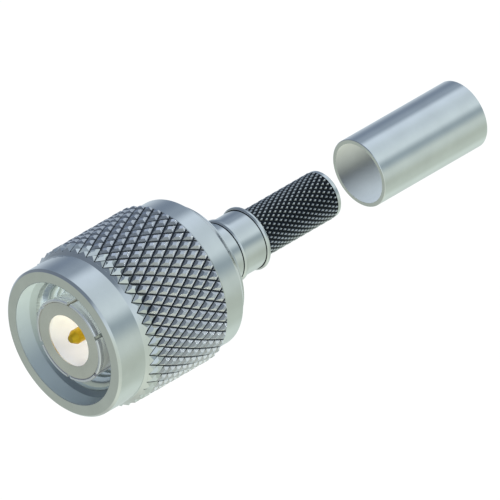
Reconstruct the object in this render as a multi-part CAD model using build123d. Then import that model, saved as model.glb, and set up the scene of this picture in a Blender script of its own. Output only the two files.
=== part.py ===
from build123d import *
import os
from math import cos, pi, radians, sin

# A crimp-on coaxial cable plug with a threaded coupling nut. Millimetres.
# The axis of the plug is X. X = 0 is the mouth plane of the coupling nut, the cable
# leaves towards +X, +Z is up, and the origin is the centre of the mouth.
# Lengths run along X, and a size called dia or bore is a diameter. Walls, steps,
# stands and clearances are measured on the radius.

# Coupling thread, 7/16 in with 28 turns to the inch, drawn at its minor diameter
thread_minor = 10.30
mouth_flare = 0.84
mouth_depth = 1.66
thread_length = 6.90
relief_step = 0.60
relief_length = 2.00

# Outside of the coupling nut
nut_wall = 1.50
mouth_chamfer = 0.21
front_band = 3.14
knurl_length = 10.31
rear_band = 2.00
rear_chamfer = 1.05
rear_land = 0.15

# Diamond knurl of the coupling nut: how far its belt stands over the bands, and how deep
# its grooves are
knurl_stand = 0.53
knurl_depth = 0.25
knurl_starts = 45
knurl_pitch = 1.87
knurl_phase_deg = 5.96

# Front shell: nose tube, hub, and the shank that the nut turns on
nose_front = 0.68
nose_wall = 0.845
lip_step = 0.40
lip_length = 0.12
hub_length = 2.20
shank_step = 0.40
shank_reach = 0.65
shank_chamfer = 0.20

# Slotted contact sleeve, pressed on the nose, and the room round it for the jack
jack_room = 1.185
sleeve_front = 0.62
sleeve_wall = 0.15
finger_gap = 0.07
sleeve_lip = 0.115
lip_chamfer = 0.08
lip_land = 0.12
lip_slope = 0.34
slot_count = 6
slot_width = 0.38
slot_length = 6.00
slot_first_deg = 30.0
press_land = 1.60

# Retaining ring between the shank and the nut
ring_from_shoulder = 2.40
ring_width = 0.90
ring_depth = 0.70
ring_stand = 0.50
ring_gap = 1.60

# Gasket on the front face of the hub
gasket_thickness = 1.00

# Insulators
skirt_wall = 0.38
skirt_depth = 4.80
front_insulator_length = 8.40
rear_insulator_length = 5.80

# Centre contact
pin_front = 0.89
pin_dia = 1.35
pin_tip_dia = 0.66
pin_cone = 0.57
contact_shoulder_dia = 2.60
contact_shoulder = 0.80
barrel_dia = 1.90
barrel_length = 4.40
conductor_bore = 1.00
conductor_depth = 3.80
sight_hole = 0.60

# Crimp body behind the shank
cable_bore = 3.10
collar_stand = 0.62
collar_length = 0.60
tail_dia = 5.84
tail_length = 2.02
bead_stand = 0.16
bead_rise = 0.18
bead_length = 0.46
neck_step = 0.05
neck_length = 2.46
flange_stand = 0.15
flange_length = 0.41
flange_chamfer = 0.12

# Crimp stem, as large as the crests of its fine knurl, and its plain rim
stem_wall = 0.80
stem_length = 9.28
rim_step = 0.05
stem_rim = 0.43
stem_chamfer = 0.10

# Crimp ferrule, drawn back from the stem, with room in it for the cable's braid
braid_room = 0.58
ferrule_wall = 0.405
ferrule_length = 13.17
ferrule_stand_off = 4.50
ferrule_chamfer = 0.08

# Clearances, each on the radius or along the axis
running_clearance = 0.05
thread_room = 0.30
axial_play = 0.30
ring_room = 0.25
insulator_fit = 0.02
contact_fit = 0.04
ring_seat = 0.05

# Places along the axis that follow from the sizes above. The countersink of the mouth
# is a 45 degree cone, as long as its flare.
thread_start = mouth_depth + mouth_flare
thread_end = thread_start + thread_length
nut_shoulder = thread_end + relief_length
hub_rear = nut_shoulder - axial_play
hub_front = hub_rear - hub_length
knurl_start = front_band
knurl_end = knurl_start + knurl_length
rear_band_end = knurl_end + rear_band
nut_length = rear_band_end + rear_chamfer + rear_land
ring_front = nut_shoulder + ring_from_shoulder
ring_rear = ring_front + ring_width
shank_end = nut_length + shank_reach
insulator_front = nose_front + lip_length
skirt_floor = insulator_front + skirt_depth
contact_stop = insulator_front + front_insulator_length
insulator_rear = contact_stop + rear_insulator_length
bead_front = shank_end + collar_length + tail_length
neck_front = bead_front + bead_length
flange_front = neck_front + neck_length
flange_rear = flange_front + flange_length
stem_rear = flange_rear + stem_length
stem_end = stem_rear + stem_rim
ferrule_front = stem_end + ferrule_stand_off

# Radii outwards from the thread: the nut's walls and its knurl
thread_radius = thread_minor / 2
mouth_radius = thread_radius + mouth_flare
relief_radius = thread_radius + relief_step
band_radius = relief_radius + nut_wall
crest_radius = band_radius + knurl_stand
root_radius = crest_radius - knurl_depth

# Radii inwards from the thread: hub, shank and ring, then sleeve, nose and insulator
hub_radius = thread_radius - thread_room
shank_radius = hub_radius - shank_step
nut_bore_radius = shank_radius + running_clearance
ring_inner_radius = shank_radius - ring_depth
ring_outer_radius = shank_radius + ring_stand
sleeve_outer_radius = thread_radius - jack_room
sleeve_inner_radius = sleeve_outer_radius - sleeve_wall
nose_radius = sleeve_inner_radius - finger_gap
nose_bore_radius = nose_radius - nose_wall
insulator_radius = nose_bore_radius - insulator_fit
pin_bore_radius = pin_dia / 2 + contact_fit

# Radii of the crimp end: the ferrule goes over the stem and stops on the flange
tail_radius = tail_dia / 2
bead_radius = tail_radius + bead_stand
neck_radius = tail_radius - neck_step
stem_radius = cable_bore / 2 + stem_wall
rim_radius = stem_radius - rim_step
ferrule_inner_radius = stem_radius + braid_room
ferrule_radius = ferrule_inner_radius + ferrule_wall


def turned(outline):
    # A solid of revolution about the axis of the plug, from (x, radius) points.
    return revolve(make_face(Polyline(*outline, close=True)), Axis.X, 360).solid()


def on_cylinder(x, radius, angle):
    return Vector(x, radius * cos(angle), radius * sin(angle))


def flat_face(points):
    return Face(Wire.make_polygon(points, close=True))


def diamond(x, angle, half_pitch, half_step, root, crest):
    # One raised diamond of a knurl: four flanks that rise from the grooves to a point.
    corners = [
        on_cylinder(x - half_pitch, root, angle),
        on_cylinder(x, root, angle + half_step),
        on_cylinder(x + half_pitch, root, angle),
        on_cylinder(x, root, angle - half_step),
    ]
    peak = on_cylinder(x, crest, angle)
    return [flat_face([corners[k], corners[(k + 1) % 4], peak]) for k in range(4)]


def knurled_rod(begin, end, crossing, crest, root, starts, pitch, phase):
    # A rod whose skin is a diamond knurl. Rows of diamonds lie half a step apart, so the
    # grooves between them run as two sets of helices, starts of each hand, which cross at
    # the place called crossing. The rod runs on past begin and end by a row or two.
    half_step = pi / starts
    half_pitch = pitch / 2
    first = crossing - pitch * (int((crossing - begin) / pitch) + 1)
    rows = int((end - first) / half_pitch) + 2
    last = first + rows * half_pitch
    start, tail = first - half_pitch, last + half_pitch
    ring = range(2 * starts)
    faces = []
    for row in range(1, rows):
        for column in range(row % 2 + 1, 2 * starts + 1, 2):
            centre = first + row * half_pitch
            faces += diamond(centre, phase + column * half_step, half_pitch, half_step, root, crest)
    for column in ring:
        here = phase + column * half_step
        there = here + half_step
        front_in = half_pitch * (column % 2)
        rear_in = half_pitch * ((rows + column) % 2)
        front_edge = (first + front_in, first + half_pitch - front_in)
        rear_edge = (last - rear_in, last - half_pitch + rear_in)
        for flat, (near, far) in ((start, front_edge), (tail, rear_edge)):
            strip = [
                on_cylinder(flat, root, here),
                on_cylinder(flat, root, there),
                on_cylinder(far, root, there),
                on_cylinder(near, root, here),
            ]
            faces.append(flat_face(strip))
    for flat in (start, tail):
        faces.append(flat_face([on_cylinder(flat, root, phase + k * half_step) for k in ring]))
    return Solid(Shell(faces))


def coupling_nut():
    band = band_radius
    bore = nut_bore_radius
    groove = ring_outer_radius + ring_room
    rear_face = band - rear_chamfer
    shell = turned(
        [
            (0, mouth_radius),
            (0, band - mouth_chamfer),
            (mouth_chamfer, band),
            (rear_band_end, band),
            (rear_band_end + rear_chamfer, rear_face),
            (nut_length, rear_face),
            (nut_length, bore),
            (ring_rear + axial_play, bore),
            (ring_rear + axial_play, groove),
            (ring_front - axial_play, groove),
            (ring_front - axial_play, bore),
            (nut_shoulder, bore),
            (nut_shoulder, relief_radius),
            (thread_end, relief_radius),
            (thread_end, thread_radius),
            (thread_start, thread_radius),
            (mouth_depth, mouth_radius),
        ]
    )
    # Only a belt of the knurled rod is kept and joined to the shell. It reaches from the
    # middle of the wall to a radius that is clear of the crests, and its ends are 45 degree
    # cones that leave the shell where the bands end.
    inside = (band + relief_radius) / 2
    outside = crest_radius + knurl_stand
    begin = knurl_start - (band - inside)
    end = knurl_end + (band - inside)
    rod = knurled_rod(
        begin,
        end,
        knurl_start + knurl_stand - knurl_depth,
        crest_radius,
        root_radius,
        knurl_starts,
        knurl_pitch,
        radians(knurl_phase_deg),
    )
    belt = turned(
        [
            (begin, inside),
            (knurl_start + outside - band, outside),
            (knurl_end - outside + band, outside),
            (end, inside),
        ]
    )
    return shell + (rod & belt)


def front_shell():
    bore = nose_bore_radius
    lip = bore - lip_step
    shank = shank_radius
    return turned(
        [
            (nose_front, lip),
            (nose_front, nose_radius),
            (hub_front, nose_radius),
            (hub_front, hub_radius),
            (hub_rear, hub_radius),
            (hub_rear, shank),
            (ring_front, shank),
            (ring_front, ring_inner_radius),
            (ring_rear, ring_inner_radius),
            (ring_rear, shank),
            (shank_end - shank_chamfer, shank),
            (shank_end, shank - shank_chamfer),
            (shank_end, bore),
            (insulator_front, bore),
            (insulator_front, lip),
        ]
    )


def contact_sleeve():
    inner = sleeve_inner_radius
    outer = sleeve_outer_radius
    lip = outer + sleeve_lip
    lip_front = sleeve_front + lip_chamfer
    lip_rear = lip_front + lip_land
    grip = hub_front - press_land
    sleeve = turned(
        [
            (sleeve_front, inner),
            (sleeve_front, lip - lip_chamfer),
            (lip_front, lip),
            (lip_rear, lip),
            (lip_rear + lip_slope, outer),
            (hub_front, outer),
            (hub_front, nose_radius),
            (grip, nose_radius),
            (grip, inner),
        ]
    )
    for k in range(slot_count):
        turn = slot_first_deg + k * 360 / slot_count
        slot = Pos(sleeve_front + slot_length / 2, lip, 0) * Box(slot_length, lip, slot_width)
        sleeve = sleeve - Rot(turn, 0, 0) * slot
    return sleeve


def retaining_ring():
    ring = turned(
        [
            (ring_front, ring_inner_radius + ring_seat),
            (ring_front, ring_outer_radius),
            (ring_rear - ring_seat, ring_outer_radius),
            (ring_rear - ring_seat, ring_inner_radius + ring_seat),
        ]
    )
    middle = (ring_front + ring_rear) / 2
    gap = Pos(middle, 0, -ring_outer_radius) * Box(2 * ring_width, ring_gap, ring_outer_radius)
    return ring - gap


def gasket():
    return turned(
        [
            (hub_front - gasket_thickness, sleeve_outer_radius + insulator_fit),
            (hub_front - gasket_thickness, hub_radius),
            (hub_front, hub_radius),
            (hub_front, sleeve_outer_radius + insulator_fit),
        ]
    )


def front_insulator():
    return turned(
        [
            (insulator_front, insulator_radius - skirt_wall),
            (insulator_front, insulator_radius),
            (contact_stop, insulator_radius),
            (contact_stop, pin_bore_radius),
            (skirt_floor, pin_bore_radius),
            (skirt_floor, insulator_radius - skirt_wall),
        ]
    )


def rear_insulator():
    seat = contact_shoulder_dia / 2 + contact_fit
    seat_end = contact_stop + contact_shoulder + contact_fit
    barrel = barrel_dia / 2 + contact_fit
    return turned(
        [
            (contact_stop, seat),
            (contact_stop, insulator_radius),
            (insulator_rear, insulator_radius),
            (insulator_rear, barrel),
            (seat_end, barrel),
            (seat_end, seat),
        ]
    )


def centre_contact():
    shoulder_rear = contact_stop + contact_shoulder
    barrel_rear = shoulder_rear + barrel_length
    bore_end = barrel_rear - conductor_depth
    contact = turned(
        [
            (pin_front, 0),
            (pin_front, pin_tip_dia / 2),
            (pin_front + pin_cone, pin_dia / 2),
            (contact_stop, pin_dia / 2),
            (contact_stop, contact_shoulder_dia / 2),
            (shoulder_rear, contact_shoulder_dia / 2),
            (shoulder_rear, barrel_dia / 2),
            (barrel_rear, barrel_dia / 2),
            (barrel_rear, conductor_bore / 2),
            (bore_end, conductor_bore / 2),
            (bore_end, 0),
        ]
    )
    sight = Pos(bore_end + sight_hole, 0, barrel_dia / 2) * Cylinder(sight_hole / 2, barrel_dia)
    return contact - sight


def crimp_body():
    bore = cable_bore / 2
    spigot = insulator_radius
    collar = spigot + collar_stand
    collar_rear = shank_end + collar_length
    bead_top = bead_front + bead_rise
    # The flange stands over the ferrule, so that the ferrule's end stops on it.
    flange = ferrule_inner_radius + flange_stand
    return turned(
        [
            (insulator_rear, bore),
            (insulator_rear, spigot),
            (shank_end, spigot),
            (shank_end, collar),
            (collar_rear, collar),
            (collar_rear, tail_radius),
            (bead_front, tail_radius),
            (bead_top, bead_radius),
            (neck_front, bead_radius),
            (neck_front, neck_radius),
            (flange_front, neck_radius),
            (flange_front, flange - flange_chamfer),
            (flange_front + flange_chamfer, flange),
            (flange_rear - flange_chamfer, flange),
            (flange_rear, flange - flange_chamfer),
            (flange_rear, stem_radius),
            (stem_rear, stem_radius),
            (stem_rear, rim_radius),
            (stem_end - stem_chamfer, rim_radius),
            (stem_end, rim_radius - stem_chamfer),
            (stem_end, bore),
        ]
    )


def crimp_ferrule():
    outer = ferrule_radius
    inner = ferrule_inner_radius
    rear = ferrule_front + ferrule_length
    return turned(
        [
            (ferrule_front, inner),
            (ferrule_front, outer - ferrule_chamfer),
            (ferrule_front + ferrule_chamfer, outer),
            (rear - ferrule_chamfer, outer),
            (rear, outer - ferrule_chamfer),
            (rear, inner),
        ]
    )


pieces = {
    "coupling_nut": coupling_nut,
    "front_shell": front_shell,
    "contact_sleeve": contact_sleeve,
    "retaining_ring": retaining_ring,
    "gasket": gasket,
    "front_insulator": front_insulator,
    "rear_insulator": rear_insulator,
    "centre_contact": centre_contact,
    "crimp_body": crimp_body,
    "crimp_ferrule": crimp_ferrule,
}

os.makedirs("parts", exist_ok=True)
for name, make in pieces.items():
    export_step(make(), f"parts/{name}.step")
print("nut length", round(nut_length, 2), "ferrule travel", round(ferrule_front - flange_rear, 2))
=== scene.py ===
from math import cos, pi, radians, sin, tan

import bmesh
import bpy
from mathutils import Matrix, Vector


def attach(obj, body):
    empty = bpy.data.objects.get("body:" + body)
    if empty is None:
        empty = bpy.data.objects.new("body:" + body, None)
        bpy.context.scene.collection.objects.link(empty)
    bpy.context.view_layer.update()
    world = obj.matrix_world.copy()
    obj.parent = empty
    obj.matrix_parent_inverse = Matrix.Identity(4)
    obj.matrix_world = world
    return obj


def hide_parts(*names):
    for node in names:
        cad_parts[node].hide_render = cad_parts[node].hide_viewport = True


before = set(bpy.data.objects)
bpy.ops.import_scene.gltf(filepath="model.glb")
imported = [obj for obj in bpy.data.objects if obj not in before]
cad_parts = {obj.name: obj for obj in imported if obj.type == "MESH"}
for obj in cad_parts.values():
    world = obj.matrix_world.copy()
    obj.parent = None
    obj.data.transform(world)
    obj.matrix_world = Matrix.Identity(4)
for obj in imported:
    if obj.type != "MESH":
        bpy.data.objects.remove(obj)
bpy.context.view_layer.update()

mm = 0.001
closeBy = 0.001                 # mm: places nearer than this count as one
scene = bpy.context.scene
scene.view_settings.view_transform = "Standard"


# small helpers for colours and node trees

def tone(red, green, blue):
    # a colour as it looks on screen, 0 to 255, turned to the linear value Blender mixes with
    def linear(value):
        share = value / 255
        return share / 12.92 if share <= 0.04045 else ((share + 0.055) / 1.055) ** 2.4
    return (linear(red), linear(green), linear(blue), 1.0)


def addNode(tree, kind, values=(), **settings):
    node = tree.nodes.new(kind)
    for name, value in settings.items():
        setattr(node, name, value)
    for name, value in dict(values).items():
        if isinstance(value, bpy.types.NodeSocket):
            tree.links.new(value, node.inputs[name])
        else:
            node.inputs[name].default_value = value
    return node


def mathOf(tree, kind, first, second=0.0, third=None):
    values = {0: first, 1: second}
    if third is not None:
        values[2] = third
    return addNode(tree, "ShaderNodeMath", values, operation=kind).outputs[0]


def mixOf(tree, factor, first, second, kind="RGBA"):
    node = addNode(tree, "ShaderNodeMix", data_type=kind)
    sockets = [s for s in node.inputs if s.type == kind or (kind == "FLOAT" and s.type == "VALUE")]
    pair = sockets[-2:]
    for socket, value in zip([node.inputs[0]] + pair, (factor, first, second)):
        if isinstance(value, bpy.types.NodeSocket):
            tree.links.new(value, socket)
        else:
            socket.default_value = value
    return [s for s in node.outputs if s.enabled][0]


def rampOf(tree, factor, stops, interpolation="EASE"):
    node = addNode(tree, "ShaderNodeValToRGB", {"Fac": factor})
    node.color_ramp.interpolation = interpolation
    marks = node.color_ramp.elements
    while len(marks) < len(stops):
        marks.new(0.5)
    for mark, (place, colour) in zip(marks, stops):
        mark.position = place
        mark.color = colour
    return node.outputs["Color"]


def between(tree, value, low, high):
    # 0 below low, 1 above high, smooth in between
    return addNode(tree, "ShaderNodeMapRange", {"Value": value, "From Min": low, "From Max": high},
                   interpolation_type="SMOOTHSTEP").outputs["Result"]


# camera first: the drawing is a true isometric one, so a long lens from far away

cameraView = {
    "lens": 1650.0,             # mm
    "sensor": 36.0,             # mm across
    "pixelsPerMm": 11.12,
    "imageSize": 500,
    "mouthPixel": (64.7, 343.2),    # where the centre of the mouth lies in the picture
    "exactAt": 27.0,            # mm behind the mouth: here the scale is exact
    "clip": (0.1, 10.0),        # metres
}


def placeCamera(view):
    ahead = Vector((1, 1, -1)).normalized()
    right = Vector((1, -1, 0)).normalized()
    up = right.cross(ahead)
    middle = view["imageSize"] / 2
    acrossMm = (middle - view["mouthPixel"][0]) / view["pixelsPerMm"]
    upMm = (view["mouthPixel"][1] - middle) / view["pixelsPerMm"]
    target = (right * acrossMm + up * upMm) * mm
    width = view["imageSize"] / view["pixelsPerMm"] * mm
    distance = width * view["lens"] / view["sensor"]
    depth = ahead.x * view["exactAt"] * mm
    data = bpy.data.cameras.new("photoCamera")
    data.lens = view["lens"]
    data.sensor_width = view["sensor"]
    data.clip_start, data.clip_end = view["clip"]
    camera = bpy.data.objects.new("photoCamera", data)
    camera.location = target - ahead * (distance - depth)
    camera.rotation_mode = "QUATERNION"
    camera.rotation_quaternion = ahead.to_track_quat("-Z", "Y")
    scene.collection.objects.link(camera)
    scene.camera = camera


placeCamera(cameraView)
print("camera placed")


# studio: a white sheet as floor, and a room that shows as soft stripes in the metal

studio = {
    "floorDrop": 55.0,          # mm below the plug's axis
    "floorSize": 4000.0,
    "paper": (1.0, 1.0, 1.0),
    "mirrorStrength": 1.50,     # what the metal mirrors
    "softStrength": 1.00,       # what lights rough and white surfaces
    # colours of the room round the plug's axis, by angle from +Y towards +Z:
    # first behind the plug, then in front of it
    "rearStripes": [
        (-180, (180, 191, 188)),
        (-148, (167, 177, 169)),
        (-120, (174, 185, 177)),
        (-95, (188, 200, 194)),
        (-60, (176, 186, 182)),
        (-26, (164, 175, 186)),
        (16, (114, 127, 144)),
        (44, (134, 147, 162)),
        (66, (190, 203, 216)),
        (96, (180, 193, 202)),
        (128, (190, 203, 209)),
        (152, (140, 154, 161)),
        (180, (180, 191, 188)),
    ],
    "frontStripes": [
        (-180, (190, 201, 196)),
        (-150, (182, 192, 184)),
        (-110, (198, 207, 197)),
        (-80, (165, 171, 165)),
        (-45, (153, 161, 155)),
        (-10, (120, 129, 140)),
        (30, (104, 114, 128)),
        (90, (112, 124, 137)),
        (118, (176, 189, 200)),
        (150, (190, 203, 211)),
        (180, (190, 201, 196)),
    ],
    "frontEdge": (-0.10, 0.30),     # how far along the axis the one turns into the other
    "softLow": (142, 146, 158),     # soft light from below
    "softHigh": (112, 124, 150),    # and from above
    "softEdge": (-0.60, 0.60),      # how far up the one turns into the other
}

# lamps that only rough surfaces feel, each linked to its own pieces and without a shadow,
# so that it lights flanks and bores evenly. at is the direction it shines from
nosePieces = ["sleeve", "insulator", "pin"]
lampSpread = 20.0               # degrees across
lampSizes = {
    "keyLamp": {
        "at": (-0.05, -0.68, -0.73),
        "strength": 7.6,
        "colour": (0.97, 1.00, 0.86),
        "lights": ["nut"],
    },
    "rimLamp": {
        "at": (0.90, -0.42, 0.12),
        "strength": 5.0,
        "colour": (0.93, 0.97, 1.00),
        "lights": ["nut"],
    },
    "rearLamp": {
        "at": (0.85, -0.20, 0.50),
        "strength": 3.6,
        "colour": (0.66, 0.78, 1.00),
        "lights": ["nut"],
    },
    "noseLamp": {
        "at": (-0.80, -0.46, 0.38),
        "strength": 0.7,
        "colour": (0.97, 0.98, 1.00),
        "lights": nosePieces,
    },
    "creamLamp": {
        "at": (-0.15, -0.75, -0.65),
        "strength": 1.8,
        "colour": (1.00, 0.99, 0.78),
        "lights": nosePieces,
    },
    "lilacLamp": {
        "at": (-0.15, 0.05, 0.98),
        "strength": 0.95,
        "colour": (0.86, 0.89, 1.00),
        "lights": nosePieces,
    },
    "tubeLamp": {
        "at": (0.00, -0.64, -0.77),
        "strength": 8.6,
        "colour": (0.98, 1.00, 0.82),
        "lights": ["ferrule"],
    },
    "tubeSkyLamp": {
        "at": (0.00, 0.55, 0.84),
        "strength": 8.6,
        "colour": (0.80, 0.90, 1.00),
        "lights": ["ferrule"],
    },
}


def makeRoom(sizes):
    world = bpy.data.worlds.new("studioRoom")
    scene.world = world
    world.use_nodes = True
    world.cycles.sampling_method = "NONE"       # the room is soft enough without
    tree = world.node_tree
    tree.nodes.clear()
    ray = addNode(tree, "ShaderNodeTexCoord").outputs["Generated"]
    parts = addNode(tree, "ShaderNodeSeparateXYZ", {"Vector": ray})
    turn = mathOf(tree, "ARCTAN2", parts.outputs["Z"], parts.outputs["Y"])
    share = mathOf(tree, "MULTIPLY_ADD", turn, 0.5 / pi, 0.5)

    def stripesOf(name):
        stops = [((angle + 180) / 360, tone(*colour)) for angle, colour in sizes[name]]
        return rampOf(tree, share, stops)

    behind = between(tree, parts.outputs["X"], *sizes["frontEdge"])
    above = between(tree, parts.outputs["Z"], *sizes["softEdge"])
    mirrored = mixOf(tree, behind, stripesOf("frontStripes"), stripesOf("rearStripes"))
    soft = mixOf(tree, above, tone(*sizes["softLow"]), tone(*sizes["softHigh"]))
    path = addNode(tree, "ShaderNodeLightPath").outputs
    seen = mixOf(tree, path["Is Diffuse Ray"], mirrored, soft)
    mirrorStrength = sizes["mirrorStrength"]
    strength = mathOf(tree, "MULTIPLY_ADD", path["Is Diffuse Ray"],
                      sizes["softStrength"] - mirrorStrength, mirrorStrength)
    lit = addNode(tree, "ShaderNodeBackground", {"Color": seen, "Strength": strength})
    white = addNode(tree, "ShaderNodeBackground", {"Color": sizes["paper"] + (1,)})
    either = addNode(tree, "ShaderNodeMixShader", {"Fac": path["Is Camera Ray"],
                                                   1: lit.outputs[0], 2: white.outputs[0]})
    addNode(tree, "ShaderNodeOutputWorld", {"Surface": either.outputs[0]})


def makeLamp(name, sizes, pieces):
    data = bpy.data.lights.new(name, "SUN")
    data.angle = radians(lampSpread)
    data.energy = sizes["strength"]
    data.color = sizes["colour"]
    data.use_shadow = False
    lamp = bpy.data.objects.new(name, data)
    lamp.rotation_mode = "QUATERNION"
    lamp.rotation_quaternion = (-Vector(sizes["at"])).to_track_quat("-Z", "Y")
    lamp.visible_glossy = False         # the stripes are what the metal mirrors
    scene.collection.objects.link(lamp)
    lit = bpy.data.collections.new(name + "Lights")
    for piece in pieces:
        lit.objects.link(piece)
    lamp.light_linking.receiver_collection = lit


def makeFloor(sizes):
    half = sizes["floorSize"] / 2 * mm
    low = -sizes["floorDrop"] * mm
    mesh = bpy.data.meshes.new("studioFloor")
    corners = [(-half, -half, low), (half, -half, low), (half, half, low), (-half, half, low)]
    mesh.from_pydata(corners, [], [(0, 1, 2, 3)])
    floor = bpy.data.objects.new("studioFloor", mesh)
    scene.collection.objects.link(floor)
    paper = bpy.data.materials.new("litPaper")
    paper.use_nodes = True
    skin = paper.node_tree.nodes["Principled BSDF"]
    skin.inputs["Base Color"].default_value = (0, 0, 0, 1)
    skin.inputs["Emission Color"].default_value = sizes["paper"] + (1,)
    skin.inputs["Emission Strength"].default_value = 1.0
    mesh.materials.append(paper)
    floor.visible_glossy = False        # the metal mirrors the room, not the sheet under it
    floor.visible_diffuse = False


# finishes

def newMaterial(name):
    material = bpy.data.materials.new(name)
    material.use_nodes = True
    tree = material.node_tree
    return material, tree, tree.nodes["Principled BSDF"]


def noiseOf(tree, along, across):
    # cloudy where both are alike. With far more along the axis it is the fine rings a tool leaves
    place = addNode(tree, "ShaderNodeTexCoord").outputs["Object"]
    stretch = addNode(tree, "ShaderNodeMapping", {"Vector": place, "Scale": (along, across, across)})
    return addNode(tree, "ShaderNodeTexNoise", {"Vector": stretch.outputs[0], "Scale": 1.0,
                                                "Detail": 3.0, "Roughness": 0.6}).outputs["Fac"]


def axisRadius(tree):
    # distance from the plug's axis, in mm
    place = addNode(tree, "ShaderNodeTexCoord").outputs["Object"]
    flat = addNode(tree, "ShaderNodeVectorMath", {0: place, 1: (0, 1 / mm, 1 / mm)},
                   operation="MULTIPLY")
    length = addNode(tree, "ShaderNodeVectorMath", {0: flat.outputs[0]}, operation="LENGTH")
    return length.outputs["Value"]


makeRoom(studio)
makeFloor(studio)
print("studio built")


platingSizes = {
    "ringsPerMetre": (5000.0, 60.0),    # along the axis, and across it
    "cloudsPerMetre": 420.0,
    "ringDepth": 0.02,          # mm
    "ringStrength": 0.02,
    "roughSpread": 0.05,
    "tintSpread": 0.04,
    "tintEdges": (0.30, 0.70),
    # near black painted shade, for the knurl grooves and the inside corners
    "paintedShadeColour": (0.020, 0.024, 0.030),
    "boreColour": (0.36, 0.40, 0.40),
    "boreRoughness": 0.35,
    "boreMetallic": 0.50,
    "boreBlend": 0.02,          # mm to each side of its radius
    "crownColour": (0.52, 0.53, 0.58),
    "crownRoughness": 0.14,
    "crownBlend": 0.01,         # mm within its radius
}


def plating(name, colour, roughness, metallic=1.0, grooves=None, bore=None, crown=None):
    # nickel or gold plate. grooves is two radii in mm: painted shade below the first, fading to
    # the plain plate above the second. Within the radius bore it is left dull and pale, as in a
    # deep hole, and outside the radius crown it is polished
    sizes = platingSizes
    material, tree, skin = newMaterial(name)
    rings = noiseOf(tree, *sizes["ringsPerMetre"])
    cloud = noiseOf(tree, sizes["cloudsPerMetre"], sizes["cloudsPerMetre"])
    spread = sizes["roughSpread"]
    rough = mathOf(tree, "MULTIPLY_ADD", rings, spread, roughness - spread / 2)
    tints = [[min(1, c * (1 + side * sizes["tintSpread"])) for c in colour] + [1] for side in (-1, 1)]
    base = rampOf(tree, cloud, list(zip(sizes["tintEdges"], tints)), "LINEAR")
    metal = None
    if grooves:
        # painted shade: near black under the first radius, fading out by the second
        outside = between(tree, axisRadius(tree), *grooves)
        base = mixOf(tree, outside, sizes["paintedShadeColour"] + (1,), base)
    if bore:
        blend = sizes["boreBlend"]
        outside = between(tree, axisRadius(tree), bore - blend, bore + blend)
        base = mixOf(tree, outside, sizes["boreColour"] + (1,), base)
        rough = mixOf(tree, outside, sizes["boreRoughness"], rough, "FLOAT")
        metal = mixOf(tree, outside, sizes["boreMetallic"], metallic, "FLOAT")
    if crown:
        outside = between(tree, axisRadius(tree), crown - sizes["crownBlend"], crown)
        base = mixOf(tree, outside, base, sizes["crownColour"] + (1,))
        rough = mixOf(tree, outside, rough, sizes["crownRoughness"], "FLOAT")
        metal = mixOf(tree, outside, metallic, 1.0, "FLOAT")
    bump = addNode(tree, "ShaderNodeBump", {"Strength": sizes["ringStrength"],
                                            "Distance": sizes["ringDepth"] * mm, "Height": rings})
    tree.links.new(base, skin.inputs["Base Color"])
    tree.links.new(rough, skin.inputs["Roughness"])
    tree.links.new(bump.outputs[0], skin.inputs["Normal"])
    skin.inputs["Metallic"].default_value = metallic
    if metal:
        tree.links.new(metal, skin.inputs["Metallic"])
    return material


plasticSizes = {
    "cloudsPerMetre": 500.0,
    "grainPerMetre": 16000.0,
    "grainDepth": 0.02,         # mm
    "grainStrength": 0.05,
    "tintEdges": (0.35, 0.65),
    "lightReach": 0.5,          # mm that light goes into a milky one
}


def plastic(name, colour, shade, roughness, milky=0.0):
    # moulded or cut polymer: soft cloudy colour and a faint grain
    sizes = plasticSizes
    material, tree, skin = newMaterial(name)
    cloud = noiseOf(tree, sizes["cloudsPerMetre"], sizes["cloudsPerMetre"])
    grain = noiseOf(tree, sizes["grainPerMetre"], sizes["grainPerMetre"])
    tints = [shade + (1,), colour + (1,)]
    base = rampOf(tree, cloud, list(zip(sizes["tintEdges"], tints)), "LINEAR")
    bump = addNode(tree, "ShaderNodeBump", {"Strength": sizes["grainStrength"],
                                            "Distance": sizes["grainDepth"] * mm, "Height": grain})
    tree.links.new(base, skin.inputs["Base Color"])
    tree.links.new(bump.outputs[0], skin.inputs["Normal"])
    skin.inputs["Roughness"].default_value = roughness
    skin.inputs["Subsurface Weight"].default_value = milky
    skin.inputs["Subsurface Radius"].default_value = (1, 1, 1)
    skin.inputs["Subsurface Scale"].default_value = sizes["lightReach"] * mm
    return material


bright = (0.66, 0.67, 0.66)
nickelNut = plating("nickelNut", bright, 0.09, bore=6.05)
# painted shade on the groove floors and the feet of the diamonds' flanks
nickelKnurl = plating("nickelKnurl", (0.27, 0.28, 0.28), 0.30, metallic=0.25,
                      grooves=(7.535, 7.60), crown=7.76)
nickelBody = plating("nickelBody", bright, 0.09)
# painted shade from the stem knurl's root most of the way up its flanks
nickelStem = plating("nickelStem", (0.50, 0.51, 0.52), 0.25, grooves=(2.23, 2.345))
nickelShell = plating("nickelShell", (0.68, 0.67, 0.64), 0.20)
nickelFerrule = plating("nickelFerrule", (0.69, 0.70, 0.69), 0.08)
nickelTube = plating("nickelTube", (0.25, 0.26, 0.265), 0.40, metallic=0.20)
nickelSleeve = plating("nickelSleeve", (0.72, 0.74, 0.75), 0.18, metallic=0.6)
springWire = plating("springWire", (0.50, 0.50, 0.49), 0.30)
# painted shade: a near black material for the nut's turned floor under the knurl and for the crimp
# body's inside corners and stem floor
grooveTarnish = plating("grooveTarnish", platingSizes["paintedShadeColour"], 0.45)
goldPin = plating("goldPin", (0.60, 0.38, 0.010), 0.32, metallic=0.6)
whitePtfe = plastic("whitePtfe", (0.95, 0.95, 0.94), (0.92, 0.92, 0.91), 0.35, milky=0.3)
redSilicone = plastic("redSilicone", (0.50, 0.10, 0.05), (0.42, 0.08, 0.04), 0.55)

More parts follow.
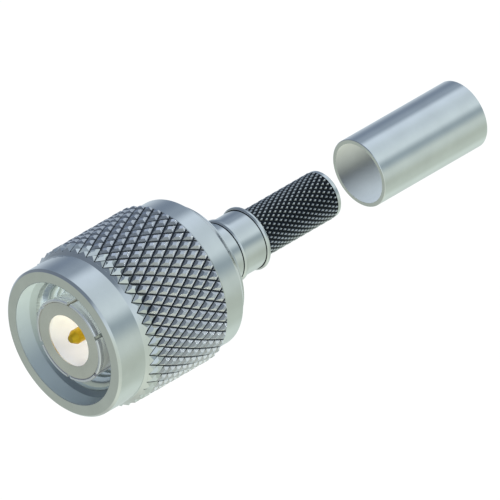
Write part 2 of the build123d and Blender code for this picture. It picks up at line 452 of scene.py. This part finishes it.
hiddenFinish = {
    "retaining_ring": springWire,
    "gasket": redSilicone,
    "rear_insulator": whitePtfe,
}
for nodeName, finish in hiddenFinish.items():
    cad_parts[nodeName].material_slots[0].material = finish
print("finishes made")


# turned shells: an outline of (x, radius) points in mm, spun about the axis

turning = {
    "leastBend": 30.0,          # degrees: a flatter corner gets no round
    "mostReach": 0.4,           # a round takes at most this share of the line beside it
    "roundSteps": 4,
    "sharpFrom": 18.0,          # degrees: a steeper edge is shaded sharp
}


def objectFrom(bm, name, materials=()):
    mesh = bpy.data.meshes.new(name)
    bm.to_mesh(mesh)
    bm.free()
    for material in materials:
        mesh.materials.append(material)
    made = bpy.data.objects.new(name, mesh)
    scene.collection.objects.link(made)
    return made


def softened(outline, size):
    # breaks every sharp corner of a closed outline with a small round
    points = [Vector(p) for p in outline]
    rounded = []
    for k, corner in enumerate(points):
        before, after = points[k - 1], points[(k + 1) % len(points)]
        bend = (corner - before).angle(after - corner, 0)
        # a flat corner stays as it is, and so does a point on the axis
        if corner.y == 0 or bend < radians(turning["leastBend"]):
            rounded.append(corner)
            continue
        share = turning["mostReach"]
        reach = min(size, (before - corner).length * share, (after - corner).length * share)
        start = corner + (before - corner).normalized() * reach
        end = corner + (after - corner).normalized() * reach
        for step in range(turning["roundSteps"] + 1):
            t = step / turning["roundSteps"]
            rounded.append(start * (1 - t) ** 2 + corner * 2 * t * (1 - t) + end * t ** 2)
    return rounded


def splitNear(outline, corners, reach):
    # one more point each side of these corners of a closed outline, so that a line can follow them
    points = []
    for k, spot in enumerate(outline):
        here = Vector(spot)
        before, after = Vector(outline[k - 1]), Vector(outline[(k + 1) % len(outline)])
        if spot in corners:
            points.append(here + (before - here).normalized() * reach)
        points.append(here)
        if spot in corners:
            points.append(here + (after - here).normalized() * reach)
    return points


def spunMesh(name, outline, materials, sides=192, rounding=0.05, materialAt=None):
    points = softened(outline, rounding)
    bm = bmesh.new()
    rings = []
    for k in range(sides):
        turn = 2 * pi * k / sides
        places = [Vector((p.x, p.y * cos(turn), p.y * sin(turn))) * mm for p in points]
        rings.append([bm.verts.new(place) for place in places])
    for k in range(sides):
        here, there = rings[k], rings[(k + 1) % sides]
        for i in range(len(points)):
            j = (i + 1) % len(points)
            face = bm.faces.new((here[i], here[j], there[j], there[i]))
            face.smooth = True
            if materialAt:
                face.material_index = materialAt((points[i] + points[j]) / 2)
    # poles on the axis are closed
    poles = [v for v in bm.verts if v.co.yz.length < closeBy * mm]
    bmesh.ops.remove_doubles(bm, verts=poles, dist=closeBy * mm)
    bmesh.ops.delete(bm, geom=[e for e in bm.edges if not e.link_faces], context="EDGES")
    bmesh.ops.recalc_face_normals(bm, faces=bm.faces)
    piece = objectFrom(bm, name, materials)
    piece.data.set_sharp_from_angle(angle=radians(turning["sharpFrom"]))
    return piece


# knurl: a diamond cell, repeated in rows round the axis by Geometry Nodes

def diamondCell(name, knurl, centre, cuts):
    # one raised diamond at angle 0, a closed solid that stands in the groove floor
    halfStep = pi / knurl["starts"]
    halfPitch = knurl["pitch"] / 2
    root, crest, sink = knurl["rootRadius"], knurl["crestRadius"], knurl["sink"]
    foot = 1 - knurl["grooveShare"]
    top = foot * knurl["topShare"]

    def ringOf(radius, share):
        along, around = halfPitch * share, halfStep * share
        spots = [(-along, 0), (0, around), (along, 0), (0, -around)]
        return [Vector((x, radius * cos(a), radius * sin(a))) * mm for x, a in spots]

    bm = bmesh.new()
    layers = [[bm.verts.new(p) for p in ringOf(*layer)]
              for layer in ((root - sink, foot), (root, foot), (crest, top))]
    for low, high in zip(layers, layers[1:]):
        for k in range(4):
            bm.faces.new((low[k], low[(k + 1) % 4], high[(k + 1) % 4], high[k]))
    bm.faces.new(layers[-1])
    bm.faces.new(reversed(layers[0]))
    bmesh.ops.recalc_face_normals(bm, faces=bm.faces)
    for place, lean, _ in cuts:
        everything = bm.verts[:] + bm.edges[:] + bm.faces[:]
        onPlane = Vector((place[0] - centre, place[1], 0)) * mm
        facing = Vector(lean).normalized().to_3d()
        bmesh.ops.bisect_plane(bm, geom=everything, plane_co=onPlane, plane_no=facing, clear_outer=True)
        bmesh.ops.holes_fill(bm, edges=[e for e in bm.edges if e.is_boundary], sides=0)
        bmesh.ops.recalc_face_normals(bm, faces=bm.faces)
    return objectFrom(bm, name)


def newTree(name, inputs):
    tree = bpy.data.node_groups.new(name, "GeometryNodeTree")
    tree.interface.new_socket("Geometry", in_out="INPUT", socket_type="NodeSocketGeometry")
    tree.interface.new_socket("Geometry", in_out="OUTPUT", socket_type="NodeSocketGeometry")
    for label, kind in inputs:
        tree.interface.new_socket(label, in_out="INPUT", socket_type="NodeSocket" + kind)
    start = tree.nodes.new("NodeGroupInput")
    end = tree.nodes.new("NodeGroupOutput")
    return tree, start.outputs, end.inputs["Geometry"]


def finishTree(tree, made, given, end):
    # plain geometry with its finish, added to what the piece already is
    real = addNode(tree, "GeometryNodeRealizeInstances", {"Geometry": made})
    dressed = addNode(tree, "GeometryNodeSetMaterial", {"Geometry": real.outputs[0],
                                                        "Material": given["Finish"]})
    both = addNode(tree, "GeometryNodeJoinGeometry")
    tree.links.new(dressed.outputs[0], both.inputs[0])
    tree.links.new(given["Geometry"], both.inputs[0])
    tree.links.new(both.outputs[0], end)
    return tree


def makeKnurlTree():
    tree, given, end = newTree("knurlRows", [
        ("Cell", "Object"), ("Starts", "Int"), ("Rows", "Int"), ("First Row", "Float"),
        ("Row Gap", "Float"), ("Odd Row", "Int"), ("Phase", "Float"), ("Finish", "Material"),
    ])
    count = mathOf(tree, "MULTIPLY", given["Starts"], given["Rows"])
    spots = addNode(tree, "GeometryNodePoints", {"Count": count})
    index = addNode(tree, "GeometryNodeInputIndex").outputs[0]
    row = mathOf(tree, "FLOOR", mathOf(tree, "DIVIDE", mathOf(tree, "ADD", index, 0.5), given["Starts"]))
    column = mathOf(tree, "SUBTRACT", index, mathOf(tree, "MULTIPLY", row, given["Starts"]))
    odd = mathOf(tree, "MODULO", mathOf(tree, "ADD", row, given["Odd Row"]), 2.0)
    steps = mathOf(tree, "MULTIPLY_ADD", column, 2.0, odd)
    halfStep = mathOf(tree, "DIVIDE", pi, given["Starts"])
    turn = mathOf(tree, "MULTIPLY_ADD", steps, halfStep, given["Phase"])
    along = mathOf(tree, "MULTIPLY_ADD", row, given["Row Gap"], given["First Row"])
    place = addNode(tree, "ShaderNodeCombineXYZ", {"X": along})
    turned = addNode(tree, "ShaderNodeCombineXYZ", {"X": turn})
    rotation = addNode(tree, "FunctionNodeEulerToRotation", {0: turned.outputs[0]})
    placed = addNode(tree, "GeometryNodeSetPosition", {"Geometry": spots.outputs[0],
                                                       "Position": place.outputs[0]})
    cell = addNode(tree, "GeometryNodeObjectInfo", {"Object": given["Cell"]})
    rows = addNode(tree, "GeometryNodeInstanceOnPoints", {"Points": placed.outputs[0],
                                                          "Instance": cell.outputs["Geometry"],
                                                          "Rotation": rotation.outputs[0]})
    return finishTree(tree, rows.outputs[0], given, end)


def makeThreadTree():
    tree, given, end = newTree("helicalThread", [
        ("Profile", "Object"), ("Radius", "Float"), ("Pitch", "Float"), ("Turns", "Float"),
        ("Start", "Float"), ("Steps", "Int"), ("Countersink Radius", "Float"),
        ("Countersink Start", "Float"), ("Finish", "Material"),
    ])
    height = mathOf(tree, "MULTIPLY", given["Pitch"], given["Turns"])
    helix = addNode(tree, "GeometryNodeCurveSpiral", {
        "Resolution": given["Steps"],
        "Rotations": given["Turns"],
        "Start Radius": given["Radius"],
        "End Radius": given["Radius"],
        "Height": height,
    })
    upright = addNode(tree, "GeometryNodeSetCurveNormal", {"Curve": helix.outputs[0]}, mode="Z_UP")
    profile = addNode(tree, "GeometryNodeObjectInfo", {"Object": given["Profile"]})
    ridge = addNode(tree, "GeometryNodeCurveToMesh", {"Curve": upright.outputs[0],
                                                      "Profile Curve": profile.outputs["Geometry"],
                                                      "Fill Caps": True})
    shift = addNode(tree, "ShaderNodeCombineXYZ", {"X": given["Start"]})
    laid = addNode(tree, "GeometryNodeTransform", {"Geometry": ridge.outputs[0],
                                                   "Translation": shift.outputs[0],
                                                   "Rotation": (0, pi / 2, 0)})
    # the mouth's countersink trims the first turn: no point stays inside its cone
    here = addNode(tree, "GeometryNodeInputPosition").outputs[0]
    parts = addNode(tree, "ShaderNodeSeparateXYZ", {"Vector": here})
    square = mathOf(tree, "MULTIPLY", parts.outputs["Y"], parts.outputs["Y"])
    squares = mathOf(tree, "MULTIPLY_ADD", parts.outputs["Z"], parts.outputs["Z"], square)
    radius = mathOf(tree, "SQRT", squares)
    depth = mathOf(tree, "SUBTRACT", parts.outputs["X"], given["Countersink Start"])
    cone = mathOf(tree, "SUBTRACT", given["Countersink Radius"], depth)
    grow = mathOf(tree, "DIVIDE", mathOf(tree, "MAXIMUM", radius, cone), radius)
    across = mathOf(tree, "MULTIPLY", parts.outputs["Y"], grow)
    upward = mathOf(tree, "MULTIPLY", parts.outputs["Z"], grow)
    moved = addNode(tree, "ShaderNodeCombineXYZ", {"X": parts.outputs["X"], "Y": across, "Z": upward})
    trimmed = addNode(tree, "GeometryNodeSetPosition", {"Geometry": laid.outputs[0],
                                                        "Position": moved.outputs[0]})
    return finishTree(tree, trimmed.outputs[0], given, end)


def addModifier(piece, tree, values):
    modifier = piece.modifiers.new(tree.name, "NODES")
    modifier.node_group = tree
    for item in tree.interface.items_tree:
        if item.item_type == "SOCKET" and item.in_out == "INPUT" and item.name in values:
            modifier[item.identifier] = values[item.name]


def cutsOf(knurl, centre, ends):
    # the ends that cut a row of diamonds short, or None where nothing of it is left
    halfPitch = knurl["pitch"] / 2
    foot, top = (1, knurl["rootRadius"]), (knurl["topShare"], knurl["crestRadius"])
    spots = [Vector((centre + side * halfPitch * share, radius))
             for side in (-1, 1) for share, radius in (foot, top)]
    cuts = []
    for end in ends:
        place, lean, _ = end
        beyond = [(spot - Vector(place)).dot(Vector(lean)) > closeBy for spot in spots]
        if all(beyond):
            return None
        if any(beyond):
            cuts.append(end)
    return cuts


def addKnurl(piece, tree, knurl, finish, ends):
    # rows of whole diamonds go in together, and each row that an end cuts short by itself.
    # an end is a point (x, radius) on its plane, the way that faces out, and a finish or None
    halfPitch = knurl["pitch"] / 2
    groups = []
    row = 0
    while (cuts := cutsOf(knurl, knurl["firstRow"] + row * halfPitch, ends)) is not None:
        if groups and not cuts and not groups[-1]["cuts"]:
            groups[-1]["rows"] += 1
        else:
            groups.append({"first": row, "rows": 1, "cuts": cuts})
        row += 1
    cells = []
    for group in groups:
        centre = knurl["firstRow"] + group["first"] * halfPitch
        cells.append(diamondCell(piece.name + "Cell", knurl, centre, group["cuts"]))
        endFinish = group["cuts"][0][2] if group["cuts"] else None
        addModifier(piece, tree, {
            "Cell": cells[-1],
            "Starts": knurl["starts"],
            "Rows": group["rows"],
            "First Row": centre * mm,
            "Row Gap": halfPitch * mm,
            "Odd Row": (group["first"] + knurl["firstOdd"]) % 2,
            "Phase": radians(knurl["phase"]),
            "Finish": endFinish or finish,
        })
    return cells


def settle(piece, helpers):
    # the piece with its modifiers becomes a plain mesh, and what only fed it goes
    piece.modifiers.new("evenNormals", "WEIGHTED_NORMAL").keep_sharp = True
    piece.update_tag()
    bpy.context.view_layer.update()
    seen = piece.evaluated_get(bpy.context.evaluated_depsgraph_get())
    plain = bpy.data.meshes.new_from_object(seen)
    plain.name = piece.name
    piece.modifiers.clear()
    piece.data = plain
    for helper in helpers:
        bpy.data.objects.remove(helper)
    return piece


knurlTree = makeKnurlTree()
threadTree = makeThreadTree()
print("node trees built")


# coupling nut

nutSizes = {
    "mouthBore": 5.99,          # radii, mm
    "bandRadius": 7.25,
    "threadMajor": 5.556,
    "threadMinor": 5.15,
    "reliefRadius": 5.75,
    "boreRadius": 4.50,
    "ringGroove": 5.20,
    "rearFace": 6.20,
    "mouthDepth": 1.66,         # places along the axis, mm
    "threadEnd": 9.40,
    "shoulder": 11.40,
    "grooveFront": 13.50,
    "grooveRear": 15.00,
    "mouthChamfer": 0.21,
    "frontBand": 3.14,
    "knurlEnd": 13.45,
    "rearBand": 15.45,
    "rearChamfer": 16.50,
    "length": 16.65,
}
nutKnurl = {
    "starts": 45,
    "pitch": 1.87,
    "firstRow": 3.42,           # where the front cone meets the root, and the grooves cross
    "firstOdd": 1,
    "rootRadius": 7.53,
    "crestRadius": 7.77,
    "topShare": 0.36,           # the flat top of a diamond, as a share of its foot
    "grooveShare": 0.09,        # the groove, as a share of the room that a diamond has
    "sink": 0.08,               # the foot goes this far under the root
    "phase": 5.96,              # degrees
    "floorDrop": 0.03,          # and the turned floor lies this far under it
    "coneInset": 0.02,          # the diamonds are cut this much inside the cones
}
nutThread = {
    "pitch": 25.4 / 28,
    "start": 1.75,
    "stepsPerTurn": 96,
    "flank": 30.0,              # degrees
    "crestShare": 0.25,         # the flat crest, as a share of the pitch
    "sink": 0.06,
    "trim": 0.015,              # the countersink takes this much more off the ridge
}


def threadProfile(crest, base, thread):
    # a ridge between two radii, with its base meant to be sunk a little into the wall.
    # known fault: along the helix its base faces the axis, so the ridge hangs inside the bore
    depth = base - crest + thread["sink"]
    halfCrest = thread["pitch"] * thread["crestShare"] / 2
    halfBase = halfCrest + depth * tan(radians(thread["flank"]))
    spots = [(0, -halfCrest), (depth, -halfBase), (depth, halfBase), (0, halfCrest)]
    data = bpy.data.curves.new("threadProfile", "CURVE")
    data.dimensions = "3D"
    line = data.splines.new("POLY")
    line.points.add(len(spots) - 1)
    for point, (x, y) in zip(line.points, spots):
        point.co = (x * mm, y * mm, 0, 1)
    line.use_cyclic_u = True
    profile = bpy.data.objects.new("threadProfile", data)
    scene.collection.objects.link(profile)
    return profile


def makeNut(sizes, knurl, thread):
    floor = knurl["rootRadius"] - knurl["floorDrop"]
    rise = floor - sizes["bandRadius"]
    coneEnd = sizes["mouthDepth"] + sizes["mouthBore"] - sizes["threadMajor"]
    outline = [
        (0, sizes["mouthBore"]),
        (0, sizes["bandRadius"] - sizes["mouthChamfer"]),
        (sizes["mouthChamfer"], sizes["bandRadius"]),
        (sizes["frontBand"], sizes["bandRadius"]),
        (sizes["frontBand"] + rise, floor),
        (sizes["knurlEnd"] - rise, floor),
        (sizes["knurlEnd"], sizes["bandRadius"]),
        (sizes["rearBand"], sizes["bandRadius"]),
        (sizes["rearChamfer"], sizes["rearFace"]),
        (sizes["length"], sizes["rearFace"]),
        (sizes["length"], sizes["boreRadius"]),
        (sizes["grooveRear"], sizes["boreRadius"]),
        (sizes["grooveRear"], sizes["ringGroove"]),
        (sizes["grooveFront"], sizes["ringGroove"]),
        (sizes["grooveFront"], sizes["boreRadius"]),
        (sizes["shoulder"], sizes["boreRadius"]),
        (sizes["shoulder"], sizes["reliefRadius"]),
        (sizes["threadEnd"], sizes["reliefRadius"]),
        (sizes["threadEnd"], sizes["threadMajor"]),
        (coneEnd, sizes["threadMajor"]),
        (sizes["mouthDepth"], sizes["mouthBore"]),
    ]

    # the turned floor between the diamonds takes the painted shade
    def finishAt(point):
        return int(abs(point.y - floor) < closeBy)

    nut = spunMesh("couplingNut", outline, [nickelNut, grooveTarnish], rounding=0.03,
                   materialAt=finishAt)
    inset = knurl["coneInset"]
    ends = [
        ((sizes["frontBand"] + inset, sizes["bandRadius"]), (-1, 1), nickelNut),
        ((sizes["knurlEnd"] - inset, sizes["bandRadius"]), (1, 1), None),
    ]
    helpers = addKnurl(nut, knurlTree, knurl, nickelKnurl, ends)
    profile = threadProfile(sizes["threadMinor"], sizes["threadMajor"], thread)
    turns = (sizes["threadEnd"] - thread["start"]) / thread["pitch"]
    addModifier(nut, threadTree, {
        "Profile": profile,
        "Radius": sizes["threadMinor"] * mm,
        "Pitch": thread["pitch"] * mm,
        "Turns": turns,
        "Start": thread["start"] * mm,
        "Steps": thread["stepsPerTurn"],
        "Countersink Radius": (sizes["mouthBore"] + thread["trim"]) * mm,
        "Countersink Start": sizes["mouthDepth"] * mm,
        "Finish": nickelNut,
    })
    settle(nut, helpers + [profile])
    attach(nut, "nut")
    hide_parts("coupling_nut")
    return nut


nut = makeNut(nutSizes, nutKnurl, nutThread)
print("coupling nut made", len(nut.data.polygons), "faces")


# crimp body: the tail behind the nut, with bead, neck, flange and knurled stem

bodySizes = {
    "cableBore": 1.55,          # radii, mm
    "spigot": 2.88,
    "collar": 3.50,
    "tail": 2.92,
    "bead": 3.08,
    "neck": 2.87,
    "flange": 3.08,
    "stemFloor": 2.20,
    "rim": 2.30,
    "spigotFront": 15.00,       # places along the axis, mm
    "collarFront": 17.30,
    "collarRear": 17.90,
    "beadFront": 19.92,
    "beadTop": 20.10,
    "neckFront": 20.38,
    "flangeFront": 22.84,
    "flangeRear": 23.25,
    "flangeChamfer": 0.12,
    "stemRear": 32.53,
    "stemEnd": 32.96,
    "rimChamfer": 0.10,
    "cornerShadeWidth": 0.06,         # width of the line of painted shade in each inside corner
}
stemKnurl = {
    "starts": 30,
    "pitch": 0.865,
    "firstRow": 23.6825,
    "firstOdd": 0,
    "rootRadius": 2.21,
    "crestRadius": 2.345,
    "topShare": 0.30,
    "grooveShare": 0.20,
    "sink": 0.05,
    "phase": 0.0,               # degrees
}


def makeCrimpBody(sizes, knurl):
    chamfer = sizes["flangeChamfer"]
    outline = [
        (sizes["spigotFront"], sizes["cableBore"]),
        (sizes["spigotFront"], sizes["spigot"]),
        (sizes["collarFront"], sizes["spigot"]),
        (sizes["collarFront"], sizes["collar"]),
        (sizes["collarRear"], sizes["collar"]),
        (sizes["collarRear"], sizes["tail"]),
        (sizes["beadFront"], sizes["tail"]),
        (sizes["beadTop"], sizes["bead"]),
        (sizes["neckFront"], sizes["bead"]),
        (sizes["neckFront"], sizes["neck"]),
        (sizes["flangeFront"], sizes["neck"]),
        (sizes["flangeFront"], sizes["flange"] - chamfer),
        (sizes["flangeFront"] + chamfer, sizes["flange"]),
        (sizes["flangeRear"] - chamfer, sizes["flange"]),
        (sizes["flangeRear"], sizes["flange"] - chamfer),
        (sizes["flangeRear"], sizes["stemFloor"]),
        (sizes["stemRear"], sizes["stemFloor"]),
        (sizes["stemRear"], sizes["rim"]),
        (sizes["stemEnd"] - sizes["rimChamfer"], sizes["rim"]),
        (sizes["stemEnd"], sizes["rim"] - sizes["rimChamfer"]),
        (sizes["stemEnd"], sizes["cableBore"]),
    ]
    # inside corners that each get a thin line of painted shade
    corners = [
        (sizes["collarRear"], sizes["tail"]),
        (sizes["beadFront"], sizes["tail"]),
        (sizes["neckFront"], sizes["neck"]),
        (sizes["flangeFront"], sizes["neck"]),
        (sizes["stemRear"], sizes["stemFloor"]),
    ]

    # painted shade in the inside corners and on the turned floor of the stem knurl
    def finishAt(point):
        if any((point - Vector(corner)).length < sizes["cornerShadeWidth"] for corner in corners):
            return 1
        onStem = sizes["flangeRear"] < point.x < sizes["stemRear"]
        return int(onStem and abs(point.y - sizes["stemFloor"]) < closeBy)

    lined = splitNear(outline, corners, sizes["cornerShadeWidth"])
    body = spunMesh("crimpBody", lined, [nickelBody, grooveTarnish], sides=128, rounding=0.015,
                    materialAt=finishAt)
    ends = [((sizes["stemRear"], 0), (1, 0), None)]
    settle(body, addKnurl(body, knurlTree, knurl, nickelStem, ends))
    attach(body, "plug")
    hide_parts("crimp_body")
    return body


crimpBody = makeCrimpBody(bodySizes, stemKnurl)
print("crimp body made", len(crimpBody.data.polygons), "faces")


# front shell: the nose tube that carries the insulator, with the hub and shank in the nut

shellSizes = {
    "lip": 2.50,                # radii, mm
    "bore": 2.90,
    "nose": 3.745,
    "hub": 4.85,
    "shank": 4.45,
    "ringSeat": 3.75,
    "front": 0.68,              # places along the axis, mm
    "lipRear": 0.80,
    "hubFront": 8.90,
    "hubRear": 11.10,
    "ringFront": 13.80,
    "ringRear": 14.70,
    "end": 17.30,
    "endChamfer": 0.20,
}


def makeFrontShell(sizes):
    chamfer = sizes["endChamfer"]
    outline = [
        (sizes["front"], sizes["lip"]),
        (sizes["front"], sizes["nose"]),
        (sizes["hubFront"], sizes["nose"]),
        (sizes["hubFront"], sizes["hub"]),
        (sizes["hubRear"], sizes["hub"]),
        (sizes["hubRear"], sizes["shank"]),
        (sizes["ringFront"], sizes["shank"]),
        (sizes["ringFront"], sizes["ringSeat"]),
        (sizes["ringRear"], sizes["ringSeat"]),
        (sizes["ringRear"], sizes["shank"]),
        (sizes["end"] - chamfer, sizes["shank"]),
        (sizes["end"], sizes["shank"] - chamfer),
        (sizes["end"], sizes["bore"]),
        (sizes["lipRear"], sizes["bore"]),
        (sizes["lipRear"], sizes["lip"]),
    ]
    shell = settle(spunMesh("frontShell", outline, [nickelShell], rounding=0.03), [])
    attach(shell, "plug")
    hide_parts("front_shell")


makeFrontShell(shellSizes)
print("front shell made")


# contact sleeve: a spring tube with a rolled lip, cut into six fingers

sleeveSizes = {
    "inner": 3.815,             # radii, mm
    "outer": 3.965,
    "lip": 4.08,
    "seat": 3.745,
    "front": 0.62,              # places along the axis, mm
    "lipFront": 0.70,
    "lipRear": 0.82,
    "lipEnd": 1.16,
    "seatFront": 7.30,
    "rear": 8.90,
    "slotCount": 6,
    "slotWidth": 0.38,
    "slotLength": 6.00,
    "slotReach": 1.00,          # the cut goes this far to each side of the wall
    "firstSlot": 30.0,          # degrees
}


def slotCutter(sizes):
    # one mesh of bars that reach across the wall at every slot
    bm = bmesh.new()
    span = Vector((2 * sizes["slotLength"], 2 * sizes["slotReach"], sizes["slotWidth"])) * mm
    middle = Vector((sizes["front"], sizes["outer"], 0)) * mm
    for k in range(sizes["slotCount"]):
        turn = radians(sizes["firstSlot"] + k * 360 / sizes["slotCount"])
        bar = bmesh.ops.create_cube(bm, size=1.0)["verts"]
        bmesh.ops.scale(bm, vec=span, verts=bar)
        bmesh.ops.translate(bm, vec=middle, verts=bar)
        bmesh.ops.rotate(bm, matrix=Matrix.Rotation(turn, 3, "X"), verts=bar)
    return objectFrom(bm, "slotCutter")


def cutWith(piece, cutter):
    cut = piece.modifiers.new("cut", "BOOLEAN")
    cut.operation = "DIFFERENCE"
    cut.solver = "EXACT"
    cut.object = cutter


def makeContactSleeve(sizes):
    outline = [
        (sizes["front"], sizes["inner"]),
        (sizes["front"], sizes["lip"] - (sizes["lipFront"] - sizes["front"])),
        (sizes["lipFront"], sizes["lip"]),
        (sizes["lipRear"], sizes["lip"]),
        (sizes["lipEnd"], sizes["outer"]),
        (sizes["rear"], sizes["outer"]),
        (sizes["rear"], sizes["seat"]),
        (sizes["seatFront"], sizes["seat"]),
        (sizes["seatFront"], sizes["inner"]),
    ]
    sleeve = spunMesh("contactSleeve", outline, [nickelSleeve], rounding=0.03)
    cutter = slotCutter(sizes)
    cutWith(sleeve, cutter)
    settle(sleeve, [cutter])
    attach(sleeve, "plug")
    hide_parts("contact_sleeve")
    return sleeve


contactSleeve = makeContactSleeve(sleeveSizes)
print("contact sleeve made")


# front insulator: a block that holds the pin, with a thin skirt that lines the nose

insulatorSizes = {
    "skirt": 2.50,              # radii, mm
    "outer": 2.88,
    "pinBore": 0.715,
    "front": 0.80,              # places along the axis, mm
    "skirtFloor": 5.60,
    "rear": 9.20,
}


def makeFrontInsulator(sizes):
    outline = [
        (sizes["front"], sizes["skirt"]),
        (sizes["front"], sizes["outer"]),
        (sizes["rear"], sizes["outer"]),
        (sizes["rear"], sizes["pinBore"]),
        (sizes["skirtFloor"], sizes["pinBore"]),
        (sizes["skirtFloor"], sizes["skirt"]),
    ]
    insulator = settle(spunMesh("frontInsulator", outline, [whitePtfe], sides=128, rounding=0.06), [])
    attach(insulator, "plug")
    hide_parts("front_insulator")
    return insulator


frontInsulator = makeFrontInsulator(insulatorSizes)
print("front insulator made")


# centre contact: pin, shoulder and crimp barrel with its sight hole

contactSizes = {
    "tip": 0.33,                # radii, mm
    "pin": 0.675,
    "shoulder": 1.30,
    "barrel": 0.95,
    "bore": 0.50,
    "sightHole": 0.30,
    "sightSides": 32,
    "front": 0.89,              # places along the axis, mm
    "coneEnd": 1.46,
    "stop": 9.20,
    "shoulderEnd": 10.00,
    "boreEnd": 10.60,
    "rear": 14.40,
}


def sightCutter(sizes):
    # a rod through the upper wall of the barrel, near the closed end of its bore
    bm = bmesh.new()
    hole = sizes["sightHole"]
    rod = bmesh.ops.create_cone(bm, cap_ends=True, segments=sizes["sightSides"], radius1=hole * mm,
                                radius2=hole * mm, depth=2 * sizes["barrel"] * mm)["verts"]
    place = Vector((sizes["boreEnd"] + 2 * hole, 0, sizes["barrel"])) * mm
    bmesh.ops.translate(bm, vec=place, verts=rod)
    return objectFrom(bm, "sightCutter")


def makeCentreContact(sizes):
    outline = [
        (sizes["front"], 0),
        (sizes["front"], sizes["tip"]),
        (sizes["coneEnd"], sizes["pin"]),
        (sizes["stop"], sizes["pin"]),
        (sizes["stop"], sizes["shoulder"]),
        (sizes["shoulderEnd"], sizes["shoulder"]),
        (sizes["shoulderEnd"], sizes["barrel"]),
        (sizes["rear"], sizes["barrel"]),
        (sizes["rear"], sizes["bore"]),
        (sizes["boreEnd"], sizes["bore"]),
        (sizes["boreEnd"], 0),
    ]
    contact = spunMesh("centreContact", outline, [goldPin], sides=64, rounding=0.02)
    cutter = sightCutter(sizes)
    cutWith(contact, cutter)
    settle(contact, [cutter])
    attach(contact, "plug")
    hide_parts("centre_contact")
    return contact


centreContact = makeCentreContact(contactSizes)
print("centre contact made")


# crimp ferrule: a plain tube with broken edges

ferruleSizes = {
    "inner": 2.93,              # radii, mm
    "outer": 3.335,
    "front": 37.46,             # places along the axis, mm
    "rear": 50.63,
    "chamfer": 0.05,
    "boreEdge": 0.01,           # the bore's finish goes this far round its edges
}


def makeCrimpFerrule(sizes):
    chamfer = sizes["chamfer"]
    outline = [
        (sizes["front"], sizes["inner"]),
        (sizes["front"], sizes["outer"] - chamfer),
        (sizes["front"] + chamfer, sizes["outer"]),
        (sizes["rear"] - chamfer, sizes["outer"]),
        (sizes["rear"], sizes["outer"] - chamfer),
        (sizes["rear"], sizes["inner"]),
    ]

    def finishAt(point):
        return int(point.y < sizes["inner"] + sizes["boreEdge"])

    ferrule = settle(spunMesh("crimpFerrule", outline, [nickelFerrule, nickelTube], rounding=0.015,
                              materialAt=finishAt), [])
    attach(ferrule, "ferrule")
    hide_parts("crimp_ferrule")
    return ferrule


crimpFerrule = makeCrimpFerrule(ferruleSizes)
print("crimp ferrule made")


litPieces = {
    "nut": nut,
    "sleeve": contactSleeve,
    "insulator": frontInsulator,
    "pin": centreContact,
    "ferrule": crimpFerrule,
}
for lampName, sizes in lampSizes.items():
    makeLamp(lampName, sizes, [litPieces[name] for name in sizes["lights"]])
print("lamps hung", len(lampSizes))
